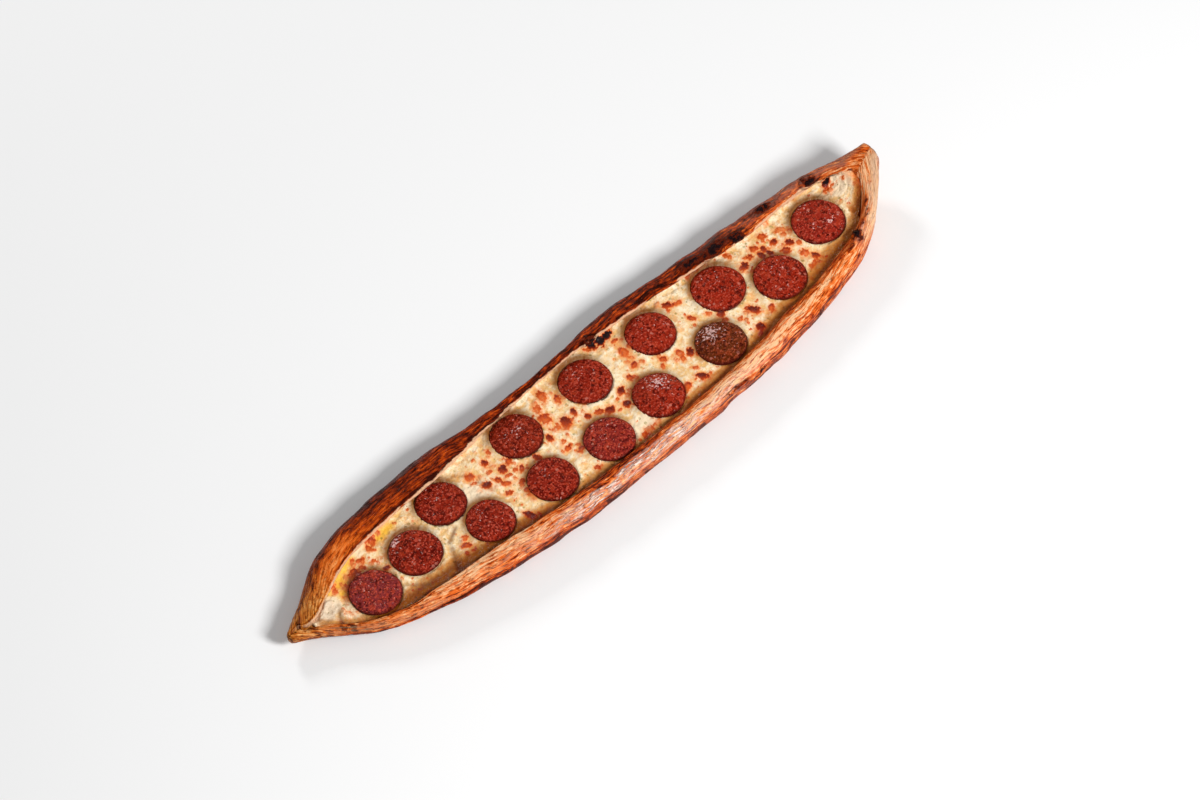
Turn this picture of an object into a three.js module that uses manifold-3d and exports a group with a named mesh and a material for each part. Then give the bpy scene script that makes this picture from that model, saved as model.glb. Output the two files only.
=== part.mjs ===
// A Turkish pide: a long boat of baked dough, filled with melted cheese and topped with slices
// of sucuk sausage. Millimetres, +Z up, the long way along X, resting on its flat underside.
import * as THREE from "three";
import { mergeVertices } from "three/addons/utils/BufferGeometryUtils.js";
import Module from "manifold-3d";

const wasm = await Module();
wasm.setup();

// ---------------------------------------------------------------- driving sizes

const LENGTH = 538; // from tip to tip
const GAP = 0.3; // left between touching pieces

// Each list below is a curve along the boat: [share of the length, millimetres].
// Plan: how far out the two sides bulge, with -Y the near side and +Y the far side.
const NEAR_SIDE = [[0, 16.5], [0.03, 8.5], [0.055, -2], [0.09, -16], [0.14, -27.5], [0.23, -40.5],
  [0.3, -47.5], [0.4, -53], [0.5, -54.5], [0.62, -55.5], [0.76, -51.5], [0.86, -43], [0.92, -32],
  [0.965, -16], [1, 2]];
const FAR_SIDE = [[0, 23], [0.03, 31], [0.055, 39.5], [0.09, 49], [0.14, 55.5], [0.2, 58], [0.3, 57.5],
  [0.37, 52], [0.46, 48.5], [0.6, 52], [0.72, 45.5], [0.8, 42], [0.9, 35], [0.95, 26.5], [1, 16.5]];
// Plan: the inner edges of the two rims. Where they meet, the boat is pinched shut.
const NEAR_LIP = [[0, 19.5], [0.035, 14], [0.054, 6], [0.08, -6], [0.12, -17], [0.18, -23.5],
  [0.26, -28.5], [0.36, -36.5], [0.5, -41], [0.57, -42], [0.7, -39.5], [0.76, -35.5], [0.82, -32.5],
  [0.88, -26], [0.93, -16.5], [0.955, -4], [0.968, 5], [1, 10]];
const FAR_LIP = [[0, 19.5], [0.035, 15.5], [0.065, 21], [0.11, 31], [0.2, 35.5], [0.29, 35.5],
  [0.39, 39.5], [0.54, 40.5], [0.66, 34.5], [0.76, 28], [0.82, 24.5], [0.89, 23.5], [0.945, 17],
  [0.968, 6], [1, 10]];
// Side view: the underside lifts off the table at the pinched ends, and the rims rise with it.
const KEEL = [[0, 7], [0.03, 4], [0.07, 0.8], [0.11, 0], [0.87, 0], [0.93, 2], [0.97, 9], [1, 20]];
const NEAR_RIM = [[0, 15], [0.05, 14], [0.1, 15.5], [0.17, 18.5], [0.3, 21], [0.5, 22], [0.7, 22],
  [0.88, 23], [0.95, 27], [1, 34]];
const FAR_RIM = [[0, 16], [0.06, 20], [0.15, 24], [0.4, 23], [0.7, 23], [0.88, 24], [0.95, 28], [1, 35]];
const CHEESE_TOP = [[0, 11.5], [0.09, 12.5], [0.2, 14.5], [0.9, 14.5], [1, 15.5]];
const TROUGH_START = 0.035; // shares of the length
const TROUGH_END = 0.968;
const TROUGH_OPENING = 0.045; // over this share the pinched seam opens into the trough
const CHEESE_CLEAR = 0.01; // the cheese starts this share inside the trough's ends

const BASE = 6; // thickness of the dough under the filling
const FOLD_ABOVE = 2.2; // how far the folded edges of the dough lie above the cheese
const FOLD_EDGE = 2.4; // thickness of those edges
const FAR_OVERHANG = 4.8; // how far they reach over the filling
const NEAR_OVERHANG = 1.6;
const FOLD_SLOPE = 0.1; // how far the underside of a folded edge drops towards the wall of the trough
const SEAM_HALF = 0.8; // half the width of the crease between the pinched rims
const SEAM_DEPTH = 1.4;
const FOOT = 11; // width of the rounded corner between a side and the underside
const FOOT_LIMIT = 0.34; // and the most of the boat's width that it takes near the tips
const TIP_ROUND = 2; // how far the rounded tips stand out from the last sections
const SWELL = 0.7; // height of the lumps in the baked skin
const CHEESE_SWELL = 0.5;
const CHEESE_CLIMB = 1.2; // how far the cheese rises where it meets the far rim

// The outside of a rim below its crest: [share of the way from lip to side, share of its height].
const OUTER_SKIN = [[0.84, 0.88], [1, 0.62], [0.95, 0.44], [0.98, 0.27]];
const SHOULDER_REACH = 0.45; // a point on the inside of the crest: share of the way out to it
const SHOULDER_RISE = 0.72; // and share of the way up from the folded edge
const FOOT_RISE = 0.07; // the corner at the foot bulges by this share of the height
const FOOT_REACH = 0.4;

const SECTIONS = 66; // along the boat, between its two end zones
const END_SECTIONS = 11;
const END_ZONE = 0.06; // share of the length at each tip where the sections are closer
const SKIN_STEPS = 14; // points over a rim, from its inner edge round to the underside
const CHEESE_STEPS = 8; // points across the cheese

// Slices of sucuk: x, y, radius, doming of the top, tilt about X in degrees.
const SLICES = [
  [-205.5, 4.5, 17.8, 0.8, 0],
  [-166, 7, 18.3, 1.2, 0],
  [-127.5, 22, 17.6, 0.6, -3],
  [-114.5, -10.9, 16.8, 0.8, 0],
  [-55, 23.8, 18, 1, -3],
  [-63, -17.4, 17.5, 0.8, 0],
  [8, 22, 18.5, 0.9, -2],
  [-14, -21.8, 17.8, 1, 0],
  [66, 18, 17.5, 1.6, 0],
  [34, -20.5, 18, 4, 0],
  [124, 11.2, 18.9, 0.7, 0],
  [93, -20.8, 17.8, 4.6, 0],
  [159.2, -12, 18.4, 1, 0],
  [210, 1, 18.5, 1, 0],
];
const SLICE_THICKNESS = 2.8;
const SLICE_SUNK = 1.3; // how deep a slice has settled into the cheese
const SLICE_SIDES = 24;

// ---------------------------------------------------------------- helpers

const { clamp, degToRad, lerp, smoothstep } = THREE.MathUtils;

// Random numbers from 0 to 1 that are the same on every run.
function randomFrom(seed) {
  let state = seed;
  return () => {
    state = (state * 1664525 + 1013904223) % 4294967296;
    return state / 4294967296;
  };
}

// A smooth curve through [share, value] pairs, read by share of the length.
function curveThrough(pairs) {
  const shares = new Float32Array(pairs.map(([share]) => share));
  const values = new Float32Array(pairs.map(([, value]) => value));
  const curve = new THREE.CubicInterpolant(shares, values, 1, new Float32Array(1));
  const last = shares[shares.length - 1];
  return (share) => curve.evaluate(clamp(share, shares[0], last))[0];
}

// Gentle lumps over a surface: crossing waves of about the given length, mostly from -1 to 1.
function lumpiness(seed, length) {
  const random = randomFrom(seed);
  const waves = Array.from({ length: 5 }, () => {
    const turn = random() * Math.PI;
    const rate = (2 * Math.PI * (0.7 + 0.6 * random())) / length;
    return { a: Math.cos(turn) * rate, b: Math.sin(turn) * rate, phase: random() * 2 * Math.PI };
  });
  return (p, q) => waves.reduce((sum, wave) => sum + Math.sin(wave.a * p + wave.b * q + wave.phase), 0) / 3;
}

// A closed surface over rings of equally many points. Each end is a blunt point standing out by bulge.
function sweep(rings, bulge) {
  const count = rings[0].length;
  const positions = rings.flat().flatMap((point) => point.toArray());
  const faces = [];
  for (let ring = 0; ring + 1 < rings.length; ring += 1) {
    for (let k = 0; k < count; k += 1) {
      const a = ring * count + k;
      const b = ring * count + ((k + 1) % count);
      faces.push(a, a + count, b, b, a + count, b + count);
    }
  }
  for (const end of [0, rings.length - 1]) {
    const middle = new THREE.Vector3();
    rings[end].forEach((point) => middle.addScaledVector(point, 1 / count));
    middle.x += end === 0 ? -bulge : bulge;
    const centre = positions.length / 3;
    positions.push(...middle.toArray());
    for (let k = 0; k < count; k += 1) {
      const a = end * count + k;
      const b = end * count + ((k + 1) % count);
      faces.push(...(end === 0 ? [centre, a, b] : [centre, b, a]));
    }
  }
  const geometry = new THREE.BufferGeometry();
  geometry.setAttribute("position", new THREE.Float32BufferAttribute(positions, 3));
  geometry.setIndex(faces);
  return geometry;
}

function solidFrom(geometry) {
  const merged = mergeVertices(geometry, 1e-4);
  return new wasm.Manifold(new wasm.Mesh({
    numProp: 3,
    vertProperties: new Float32Array(merged.attributes.position.array),
    triVerts: new Uint32Array(merged.index.array),
  }));
}

function geometryFrom(solid) {
  const mesh = solid.getMesh();
  const geometry = new THREE.BufferGeometry();
  geometry.setAttribute("position", new THREE.BufferAttribute(mesh.vertProperties, 3));
  geometry.setIndex(new THREE.BufferAttribute(mesh.triVerts, 1));
  return geometry;
}

// ---------------------------------------------------------------- sections of the boat

const keelCurve = curveThrough(KEEL);
const cheeseTop = curveThrough(CHEESE_TOP);
const nearLip = curveThrough(NEAR_LIP);
const farLip = curveThrough(FAR_LIP);
const doughLumps = lumpiness(11, 34);
const cheeseLumps = lumpiness(5, 27);
const RIMS = {
  near: {
    sign: -1,
    side: curveThrough(NEAR_SIDE),
    top: curveThrough(NEAR_RIM),
    overhang: NEAR_OVERHANG,
    crest: 0.5,
  },
  far: {
    sign: 1,
    side: curveThrough(FAR_SIDE),
    top: curveThrough(FAR_RIM),
    overhang: FAR_OVERHANG,
    crest: 0.62,
  },
};

const xAt = (share) => (share - 0.5) * LENGTH;

// Shares of the length at which the boat is cut into sections, closer together at the tips.
function sectionShares() {
  const from = (start, end, steps) =>
    Array.from({ length: steps }, (_, k) => lerp(start, end, k / steps));
  return [
    ...from(0, END_ZONE, END_SECTIONS),
    ...from(END_ZONE, 1 - END_ZONE, SECTIONS),
    ...from(1 - END_ZONE, 1, END_SECTIONS),
    1,
  ];
}

// One rim at a section: across the boat its lip, wall and side, and the heights of its top and fold.
function rimAt({ sign, side, top, overhang, crest }, share, open, lip) {
  const height = top(share);
  const pinched = height - SEAM_DEPTH / 2;
  const folded = Math.min(cheeseTop(share) + FOLD_ABOVE + FOLD_EDGE, height - FOLD_EDGE / 2);
  const edge = lerp(pinched, folded, open);
  return {
    sign,
    crest,
    lip,
    wall: lip + sign * overhang * open,
    side: side(share),
    top: height,
    edge,
    under: edge - lerp(SEAM_DEPTH / 2, FOLD_EDGE, open),
  };
}

// Everything that the pieces share at one section.
function sizesAt(share) {
  const start = smoothstep(share, TROUGH_START, TROUGH_START + TROUGH_OPENING);
  const end = smoothstep(share, TROUGH_END - TROUGH_OPENING, TROUGH_END);
  const open = start * (1 - end);
  const seam = (nearLip(share) + farLip(share)) / 2;
  const half = Math.max(0, (farLip(share) - nearLip(share)) / 2) + SEAM_HALF;
  const near = rimAt(RIMS.near, share, open, seam - half);
  const far = rimAt(RIMS.far, share, open, seam + half);
  const keel = Math.max(0, keelCurve(share));
  const floor = lerp(Math.min(near.under, far.under) - SEAM_DEPTH, keel + BASE, open);
  return { share, open, keel, floor, near, far };
}

// Half a section of dough, from the foot of the inner wall over the rim to the foot of the hull.
function doughHalf({ share, keel, floor, near, far }, { sign, side, lip, wall, top, crest, edge, under }) {
  const foot = side - sign * Math.min(FOOT, (far.side - near.side) * FOOT_LIMIT);
  const at = (reach, height) => new THREE.Vector2(lerp(lip, side, reach), height);
  const skin = new THREE.SplineCurve([
    at(0, edge),
    at(crest * SHOULDER_REACH, lerp(edge, top, SHOULDER_RISE)),
    at(crest, top),
    ...OUTER_SKIN.map(([reach, rise]) => at(reach, lerp(keel, top, rise))),
    new THREE.Vector2(lerp(side, foot, FOOT_REACH), lerp(keel, top, FOOT_RISE)),
    new THREE.Vector2(foot, keel),
  ]);
  const thickness = smoothstep(Math.abs(side - lip), 3, 10);
  const points = [
    new THREE.Vector2(wall, floor),
    new THREE.Vector2(wall, under - FOLD_SLOPE),
    new THREE.Vector2(lip, under),
  ];
  for (let k = 0; k <= SKIN_STEPS; k += 1) {
    const t = k / SKIN_STEPS;
    const swell = SWELL * thickness * smoothstep(t, 0, 0.2) * (1 - smoothstep(t, 0.7, 1));
    const lift = sign * swell * doughLumps(xAt(share), sign * (20 + 60 * t));
    const tangent = skin.getTangent(t);
    const outward = new THREE.Vector2(-tangent.y, tangent.x);
    points.push(skin.getPoint(t).addScaledVector(outward, lift));
  }
  return points;
}

function doughRing(share) {
  const sizes = sizesAt(share);
  const middle = new THREE.Vector2((sizes.near.lip + sizes.far.lip) / 2, sizes.floor);
  const outline = [middle, ...doughHalf(sizes, sizes.far), ...doughHalf(sizes, sizes.near).reverse()];
  return outline.map(({ x, y }) => new THREE.Vector3(xAt(share), x, Math.max(y, sizes.keel)));
}

// A section of the cheese, which fills the trough and runs under the folded edges.
function cheeseRing(share) {
  const { open, floor, near, far } = sizesAt(share);
  const level = lerp(Math.min(near.under, far.under) - GAP, cheeseTop(share), open);
  const climb = CHEESE_CLIMB * open;
  const underFold = ({ wall, under, sign }, height) =>
    [wall - sign * GAP, Math.min(height, under - FOLD_SLOPE - GAP)];
  const outline = [underFold(near, level)];
  for (let k = 0; k <= CHEESE_STEPS; k += 1) {
    const across = k / CHEESE_STEPS;
    const y = lerp(near.lip + GAP, far.lip - GAP, across);
    const ceiling = lerp(near.under, far.under, smoothstep(across, 0.1, 0.9)) - GAP;
    const lump = CHEESE_SWELL * open * cheeseLumps(xAt(share), y);
    outline.push([y, Math.min(level + climb * smoothstep(across, 0.75, 1) + lump, ceiling)]);
  }
  outline.push(underFold(far, level + climb));
  outline.push([far.wall - GAP, floor + GAP], [near.wall + GAP, floor + GAP]);
  return outline.map(([y, z]) => new THREE.Vector3(xAt(share), y, z));
}

// ---------------------------------------------------------------- sucuk

// A disc about Z with a slightly uneven outline, from rings of [share of the radius, height].
function disc(radius, rings, seed) {
  const random = randomFrom(seed);
  const phases = [random(), random(), random()].map((share) => share * 2 * Math.PI);
  const outline = (angle) => radius * (1 + 0.012 * Math.sin(2 * angle + phases[0])
    + 0.01 * Math.sin(3 * angle + phases[1]) + 0.006 * Math.sin(5 * angle + phases[2]));
  const profile = rings.map(([share, height]) => new THREE.Vector2(share, height));
  const geometry = new THREE.LatheGeometry(profile, SLICE_SIDES);
  geometry.deleteAttribute("normal");
  geometry.deleteAttribute("uv");
  geometry.rotateX(Math.PI / 2);
  const position = geometry.attributes.position;
  for (let k = 0; k < position.count; k += 1) {
    const [x, y] = [position.getX(k), position.getY(k)];
    const reach = outline(Math.atan2(y, x));
    position.setXY(k, x * reach, y * reach);
  }
  return geometry;
}

function sliceGeometry(radius, dome, seed) {
  return disc(radius, [
    [0, dome * 0.6],
    [0.95, 0],
    [1, SLICE_THICKNESS * 0.5],
    [0.95, SLICE_THICKNESS],
    [0.55, SLICE_THICKNESS + dome * 0.7],
    [0, SLICE_THICKNESS + dome],
  ], seed);
}

// What a slice presses out of the cheese, open upwards.
function pocketGeometry(radius, dome, seed) {
  const above = 12;
  return disc(radius + GAP, [[0, dome * 0.6 - GAP], [0.97, -GAP], [1, 0], [1, above], [0, above]], seed);
}

// ---------------------------------------------------------------- the pide

const dough = new THREE.MeshStandardMaterial({ color: 0xb96a35, roughness: 0.55, metalness: 0 });
const melted = new THREE.MeshStandardMaterial({ color: 0xf0d79a, roughness: 0.45, metalness: 0 });
const sausage = new THREE.MeshStandardMaterial({ color: 0x7d2720, roughness: 0.4, metalness: 0 });

const pide = new THREE.Group();
const shares = sectionShares();

const crust = new THREE.Mesh(sweep(shares.map(doughRing), TIP_ROUND), dough);
crust.name = "crust";
pide.add(crust);

const inTrough = (share) => share > TROUGH_START + CHEESE_CLEAR && share < TROUGH_END - CHEESE_CLEAR;
let filling = solidFrom(sweep(shares.filter(inTrough).map(cheeseRing), 0));
SLICES.forEach(([x, y, radius, dome, tilt], index) => {
  const slice = new THREE.Mesh(sliceGeometry(radius, dome, index + 1), sausage);
  slice.name = `sucuk_${String(index + 1).padStart(2, "0")}`;
  slice.position.set(x, y, cheeseTop(x / LENGTH + 0.5) - SLICE_SUNK);
  slice.rotation.x = degToRad(tilt);
  slice.updateMatrix();
  pide.add(slice);
  filling = filling.subtract(solidFrom(pocketGeometry(radius, dome, index + 1).applyMatrix4(slice.matrix)));
});

const cheese = new THREE.Mesh(geometryFrom(filling), melted);
cheese.name = "cheese";
pide.add(cheese);

// The origin is on the table, under the middle of the box that holds the whole pide.
const box = new THREE.Box3().setFromObject(pide);
const middle = box.getCenter(new THREE.Vector3());
pide.position.set(-middle.x, -middle.y, -box.min.z);

export default pide;
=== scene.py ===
"""A Turkish pide, dressed around its solids: the baked crust, the melted cheese and the slices of sucuk.

Metres, +Z up. The boat lies along X; its near rim is on -Y and its far, folded rim on +Y.
"""

import math
import random

import bmesh
import bpy
import numpy as np
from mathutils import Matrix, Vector, noise
from mathutils.bvhtree import BVHTree


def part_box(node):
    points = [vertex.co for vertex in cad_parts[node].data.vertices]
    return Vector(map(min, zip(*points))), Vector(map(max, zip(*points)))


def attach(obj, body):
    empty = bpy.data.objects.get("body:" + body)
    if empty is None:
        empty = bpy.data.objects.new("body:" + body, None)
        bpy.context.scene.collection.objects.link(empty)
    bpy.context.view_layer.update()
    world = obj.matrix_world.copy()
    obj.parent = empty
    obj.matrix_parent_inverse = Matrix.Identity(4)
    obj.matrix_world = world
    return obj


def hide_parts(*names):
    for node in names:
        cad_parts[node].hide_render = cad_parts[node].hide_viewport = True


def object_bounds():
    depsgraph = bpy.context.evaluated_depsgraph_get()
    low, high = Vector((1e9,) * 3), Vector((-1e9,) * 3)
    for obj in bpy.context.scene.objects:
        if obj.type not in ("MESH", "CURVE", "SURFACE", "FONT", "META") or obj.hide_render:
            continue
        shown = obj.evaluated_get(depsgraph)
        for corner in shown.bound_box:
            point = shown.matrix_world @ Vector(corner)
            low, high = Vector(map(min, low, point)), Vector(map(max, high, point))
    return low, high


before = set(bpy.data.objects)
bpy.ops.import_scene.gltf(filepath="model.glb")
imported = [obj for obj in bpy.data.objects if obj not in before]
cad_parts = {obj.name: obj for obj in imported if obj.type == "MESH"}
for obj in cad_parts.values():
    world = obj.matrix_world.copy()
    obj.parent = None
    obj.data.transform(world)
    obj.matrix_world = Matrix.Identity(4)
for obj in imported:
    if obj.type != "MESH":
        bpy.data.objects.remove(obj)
CAD_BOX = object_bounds()
MM = 0.001


def new_object(name, data):
    """An object in the scene for a mesh, camera or light."""
    made = bpy.data.objects.new(name, data)
    bpy.context.scene.collection.objects.link(made)
    return made


# ---------------------------------------------------------------- camera

# Places named in pixels below are in this view's 1200 x 800 frame.
VIEW_WIDTH = 1200
VIEW_HEIGHT = 800
VIEW_SPAN = 0.792  # metres across the view at the target
VIEW_TARGET = Vector((0.01176, 0.01088, 0))
VIEW_AZIMUTH = math.radians(-46)
VIEW_ELEVATION = math.radians(55)
VIEW_DISTANCE = 6
SENSOR_WIDTH = 36

VIEW_RIGHT = Vector((math.cos(VIEW_AZIMUTH), math.sin(VIEW_AZIMUTH), 0))
VIEW_BACK = Vector((
    math.sin(VIEW_AZIMUTH) * math.cos(VIEW_ELEVATION),
    -math.cos(VIEW_AZIMUTH) * math.cos(VIEW_ELEVATION),
    math.sin(VIEW_ELEVATION),
))
VIEW_UP = VIEW_BACK.cross(VIEW_RIGHT)
EYE = VIEW_TARGET + VIEW_BACK * VIEW_DISTANCE


def add_camera():
    data = bpy.data.cameras.new("view")
    data.sensor_width = SENSOR_WIDTH
    data.lens = SENSOR_WIDTH * VIEW_DISTANCE / VIEW_SPAN
    camera = new_object("view", data)
    camera.location = EYE
    camera.rotation_euler = VIEW_BACK.to_track_quat("Z", "Y").to_euler()
    bpy.context.scene.camera = camera


def sight_line(px, py):
    """The direction in which the camera sees a pixel of its view."""
    right = (px - VIEW_WIDTH / 2) * VIEW_SPAN / VIEW_WIDTH
    up = (VIEW_HEIGHT / 2 - py) * VIEW_SPAN / VIEW_WIDTH
    return (VIEW_RIGHT * right + VIEW_UP * up - VIEW_BACK * VIEW_DISTANCE).normalized()


def seen_at_height(px, py, height):
    """The point at that height which the camera sees at a pixel."""
    line = sight_line(px, py)
    return EYE + line * ((height - EYE.z) / line.z)


# ---------------------------------------------------------------- number helpers


def curve(pairs, at):
    """Reads a line through (place, value) pairs."""
    places, values = zip(*pairs)
    return np.interp(at, places, values)


def step(value, low, high):
    """0 below low, 1 above high and smooth between."""
    t = np.clip((value - low) / (high - low), 0, 1)
    return t * t * (3 - 2 * t)


def hump(value, centre, width):
    """1 at the centre, fading to 0 on both sides over about that width."""
    return np.exp(-((value - centre) / width) ** 2)


def share_of_length(x):
    """How far along the boat a place lies, from 0 at its left tip to 1 at its right."""
    return (x - CAD_BOX[0][0]) / (CAD_BOX[1][0] - CAD_BOX[0][0])


def noise_over(points, size, seed, octaves=1):
    """Noise from about -1 to 1 with lumps of that size, or of one size for each axis."""
    scaled = np.asarray(points) / np.asarray(size) + seed * 17.3
    if octaves == 1:
        return np.array([noise.noise(p) for p in scaled])
    return np.array([noise.fractal(p, 1.0, 2.0, octaves) for p in scaled])


def array_of(mesh, name="position", width=3):
    """A mesh's vertex places, or another of its vertex attributes, as an array."""
    values = np.empty(len(mesh.vertices) * width, np.float32)
    mesh.attributes[name].data.foreach_get("vector" if width == 3 else "value", values)
    return values.reshape(-1, 3).astype(float) if width == 3 else values.astype(float)


def store(mesh, name, values):
    """Keeps one number for each vertex as an attribute that materials read."""
    attribute = mesh.attributes.get(name) or mesh.attributes.new(name, "FLOAT", "POINT")
    attribute.data.foreach_set("value", np.asarray(values, np.float32))


def move(mesh, places):
    """Moves a mesh's vertices, never out of the box that holds the solids."""
    low, high = (np.array(corner) for corner in CAD_BOX)
    inside = np.clip(places, low, high)
    mesh.attributes["position"].data.foreach_set("vector", inside.astype(np.float32).ravel())
    mesh.update()


def normals_of(mesh):
    values = np.empty(len(mesh.vertices) * 3, np.float32)
    mesh.vertex_normals.foreach_get("vector", values)
    return values.reshape(-1, 3).astype(float)


def merged_copy(node):
    """A bmesh of a solid with its loose triangles joined up."""
    bm = bmesh.new()
    bm.from_mesh(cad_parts[node].data)
    bmesh.ops.remove_doubles(bm, verts=bm.verts, dist=1e-6)
    return bm


def mesh_of(bm, name):
    """The bmesh as a smoothly shaded mesh."""
    mesh = bpy.data.meshes.new(name)
    bm.to_mesh(mesh)
    bm.free()
    for polygon in mesh.polygons:
        polygon.use_smooth = True
    return mesh


def show(mesh, material, node):
    """Makes a mesh a shown piece of the pide, of the mesh's name, standing for a solid.

    The mesh has its final shape by then.
    """
    mesh.materials.append(material)
    piece = new_object(mesh.name, mesh)
    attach(piece, "root")
    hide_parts(node)


def smoothed(bm, levels):
    """The bmesh after rounds of subdivision, with its attributes carried over."""
    rough = new_object("rough", mesh_of(bm, "rough"))
    modifier = rough.modifiers.new("smooth", "SUBSURF")
    modifier.levels = levels
    modifier.render_levels = levels
    fine = bpy.data.meshes.new_from_object(rough.evaluated_get(bpy.context.evaluated_depsgraph_get()))
    bpy.data.objects.remove(rough)
    result = bmesh.new()
    result.from_mesh(fine)
    bpy.data.meshes.remove(fine)
    return result


# ---------------------------------------------------------------- material helpers

SPECK_EDGE = (0.05, 0.18)  # in cells: how far the smallest speck is solid, and where it ends
SPECK_GROWTH = 0.35  # in cells: how much wider the largest speck is


def add(tree, kind, inputs=None, **settings):
    """Adds a node, with its settings, and its inputs as numbers or as links from other nodes."""
    made = tree.nodes.new(kind)
    for name, value in settings.items():
        setattr(made, name, value)
    for name, value in (inputs or {}).items():
        if isinstance(value, bpy.types.NodeSocket):
            tree.links.new(value, made.inputs[name])
        else:
            made.inputs[name].default_value = value
    return made


def attribute(tree, name, output="Fac"):
    return add(tree, "ShaderNodeAttribute", attribute_name=name).outputs[output]


def sums(tree, operation, *values, clamp=False):
    made = add(tree, "ShaderNodeMath", dict(enumerate(values)), operation=operation, use_clamp=clamp)
    return made.outputs[0]


def plus(tree, first, second, clamp=False):
    return sums(tree, "ADD", first, second, clamp=clamp)


def minus(tree, first, second):
    return sums(tree, "SUBTRACT", first, second)


def times(tree, first, second):
    return sums(tree, "MULTIPLY", first, second)


def about_zero(tree, value, amount):
    """Turns noise from 0 to 1 into noise from minus to plus half that amount."""
    return times(tree, minus(tree, value, 0.5), amount)


def blend(tree, factor, first, second, kind="MIX"):
    """Mixes two colours."""
    return add(tree, "ShaderNodeMix", {0: factor, 6: first, 7: second},
               data_type="RGBA", blend_type=kind, clamp_factor=True).outputs[2]


def spread(tree, value, low, high, to_low=0.0, to_high=1.0):
    """Brings a value's range from low to high to a new range, smoothly and without passing it."""
    return add(tree, "ShaderNodeMapRange", {
        "Value": value, "From Min": low, "From Max": high, "To Min": to_low, "To Max": to_high,
    }, interpolation_type="SMOOTHSTEP").outputs["Result"]


def new_group(name, inputs, output):
    """A shader node group with those input sockets and one number as its output."""
    group = bpy.data.node_groups.new(name, "ShaderNodeTree")
    for socket, (kind, value) in inputs.items():
        made = group.interface.new_socket(socket, in_out="INPUT", socket_type=kind)
        if value is not None:
            made.default_value = value
    group.interface.new_socket(output, in_out="OUTPUT", socket_type="NodeSocketFloat")
    entry = group.nodes.new("NodeGroupInput")
    leaving = group.nodes.new("NodeGroupOutput")
    return group, entry.outputs, leaving.inputs[output]


def placed_at(tree, coordinates, size, shift):
    """Coordinates counted in lumps of that size and shifted by some lumps."""
    counted = add(tree, "ShaderNodeVectorMath", {0: coordinates, 1: size}, operation="DIVIDE")
    return add(tree, "ShaderNodeVectorMath", {0: counted.outputs[0], 1: shift}, operation="ADD").outputs[0]


def make_grain_group():
    group, given, result = new_group("grain", {
        "Coordinates": ("NodeSocketVector", None),
        "Size": ("NodeSocketVector", (0.01, 0.01, 0.01)),
        "Detail": ("NodeSocketFloat", 3.0),
        "Roughness": ("NodeSocketFloat", 0.55),
        "Shift": ("NodeSocketVector", (0, 0, 0)),
    }, "Value")
    noise_texture = add(group, "ShaderNodeTexNoise", {
        "Vector": placed_at(group, given["Coordinates"], given["Size"], given["Shift"]),
        "Scale": 1.0, "Detail": given["Detail"], "Roughness": given["Roughness"],
    })
    group.links.new(noise_texture.outputs["Fac"], result)
    return group


def make_specks_group():
    group, given, result = new_group("specks", {
        "Coordinates": ("NodeSocketVector", None),
        "Size": ("NodeSocketVector", (0.01, 0.01, 0.01)),
        "Fill": ("NodeSocketFloat", 0.3),
        "Shift": ("NodeSocketVector", (0, 0, 0)),
    }, "Mask")
    cells = add(group, "ShaderNodeTexVoronoi", {
        "Vector": placed_at(group, given["Coordinates"], given["Size"], given["Shift"]), "Scale": 1.0,
    })
    chance = add(group, "ShaderNodeSeparateColor", {"Color": cells.outputs["Color"]})
    chosen = sums(group, "LESS_THAN", chance.outputs["Red"], given["Fill"])
    reach = times(group, chance.outputs["Green"], SPECK_GROWTH)
    inside = spread(group, minus(group, cells.outputs["Distance"], reach), *SPECK_EDGE, 1, 0)
    group.links.new(times(group, chosen, inside), result)
    return group


def grain(tree, coordinates, size, detail=3.0, roughness=0.55, shift=0.0):
    """Noise from 0 to 1 whose lumps have that size, or one size for each axis."""
    return add(tree, "ShaderNodeGroup", {
        "Coordinates": coordinates, "Size": size if isinstance(size, tuple) else (size, size, size),
        "Detail": detail, "Roughness": roughness, "Shift": (shift, shift, shift),
    }, node_tree=GRAIN).outputs["Value"]


def specks(tree, coordinates, size, fill, shift=0.0):
    """Scattered specks, 0 or 1: one in each cell of that size, over a share of the cells."""
    return add(tree, "ShaderNodeGroup", {
        "Coordinates": coordinates, "Size": (size, size, size), "Fill": fill, "Shift": (shift, shift, shift),
    }, node_tree=SPECKS).outputs["Mask"]


def object_coordinates(tree):
    return add(tree, "ShaderNodeTexCoord").outputs["Object"]


def new_material(name, **shader_values):
    """A material with its Principled shader, whose named sockets are set to fixed values."""
    material = bpy.data.materials.new(name)
    material.use_nodes = True
    tree = material.node_tree
    tree.nodes.clear()
    output = tree.nodes.new("ShaderNodeOutputMaterial")
    shader = tree.nodes.new("ShaderNodeBsdfPrincipled")
    tree.links.new(shader.outputs[0], output.inputs["Surface"])
    for socket, value in shader_values.items():
        shader.inputs[socket.replace("_", " ")].default_value = value
    return material, tree, shader


def bump(tree, shader, height, distance, strength=1.0):
    made = add(tree, "ShaderNodeBump", {"Height": height, "Distance": distance, "Strength": strength})
    tree.links.new(made.outputs[0], shader.inputs["Normal"])


def ramp(tree, value, *stops):
    """A colour for each value, mixed between (value, colour) stops."""
    made = tree.nodes.new("ShaderNodeValToRGB")
    tree.links.new(value, made.inputs[0])
    elements = made.color_ramp.elements
    elements[0].position, elements[0].color = stops[0]
    elements[1].position, elements[1].color = stops[-1]
    for position, colour in stops[1:-1]:
        elements.new(position).color = colour
    return made.outputs[0]


GRAIN = make_grain_group()
SPECKS = make_specks_group()
WARM_SHEEN = (1, 0.6, 0.45, 1)  # browned crust tints the light that it reflects
RED_SHEEN = (1, 0.32, 0.2, 1)  # and so does the red fat of sucuk

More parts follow.
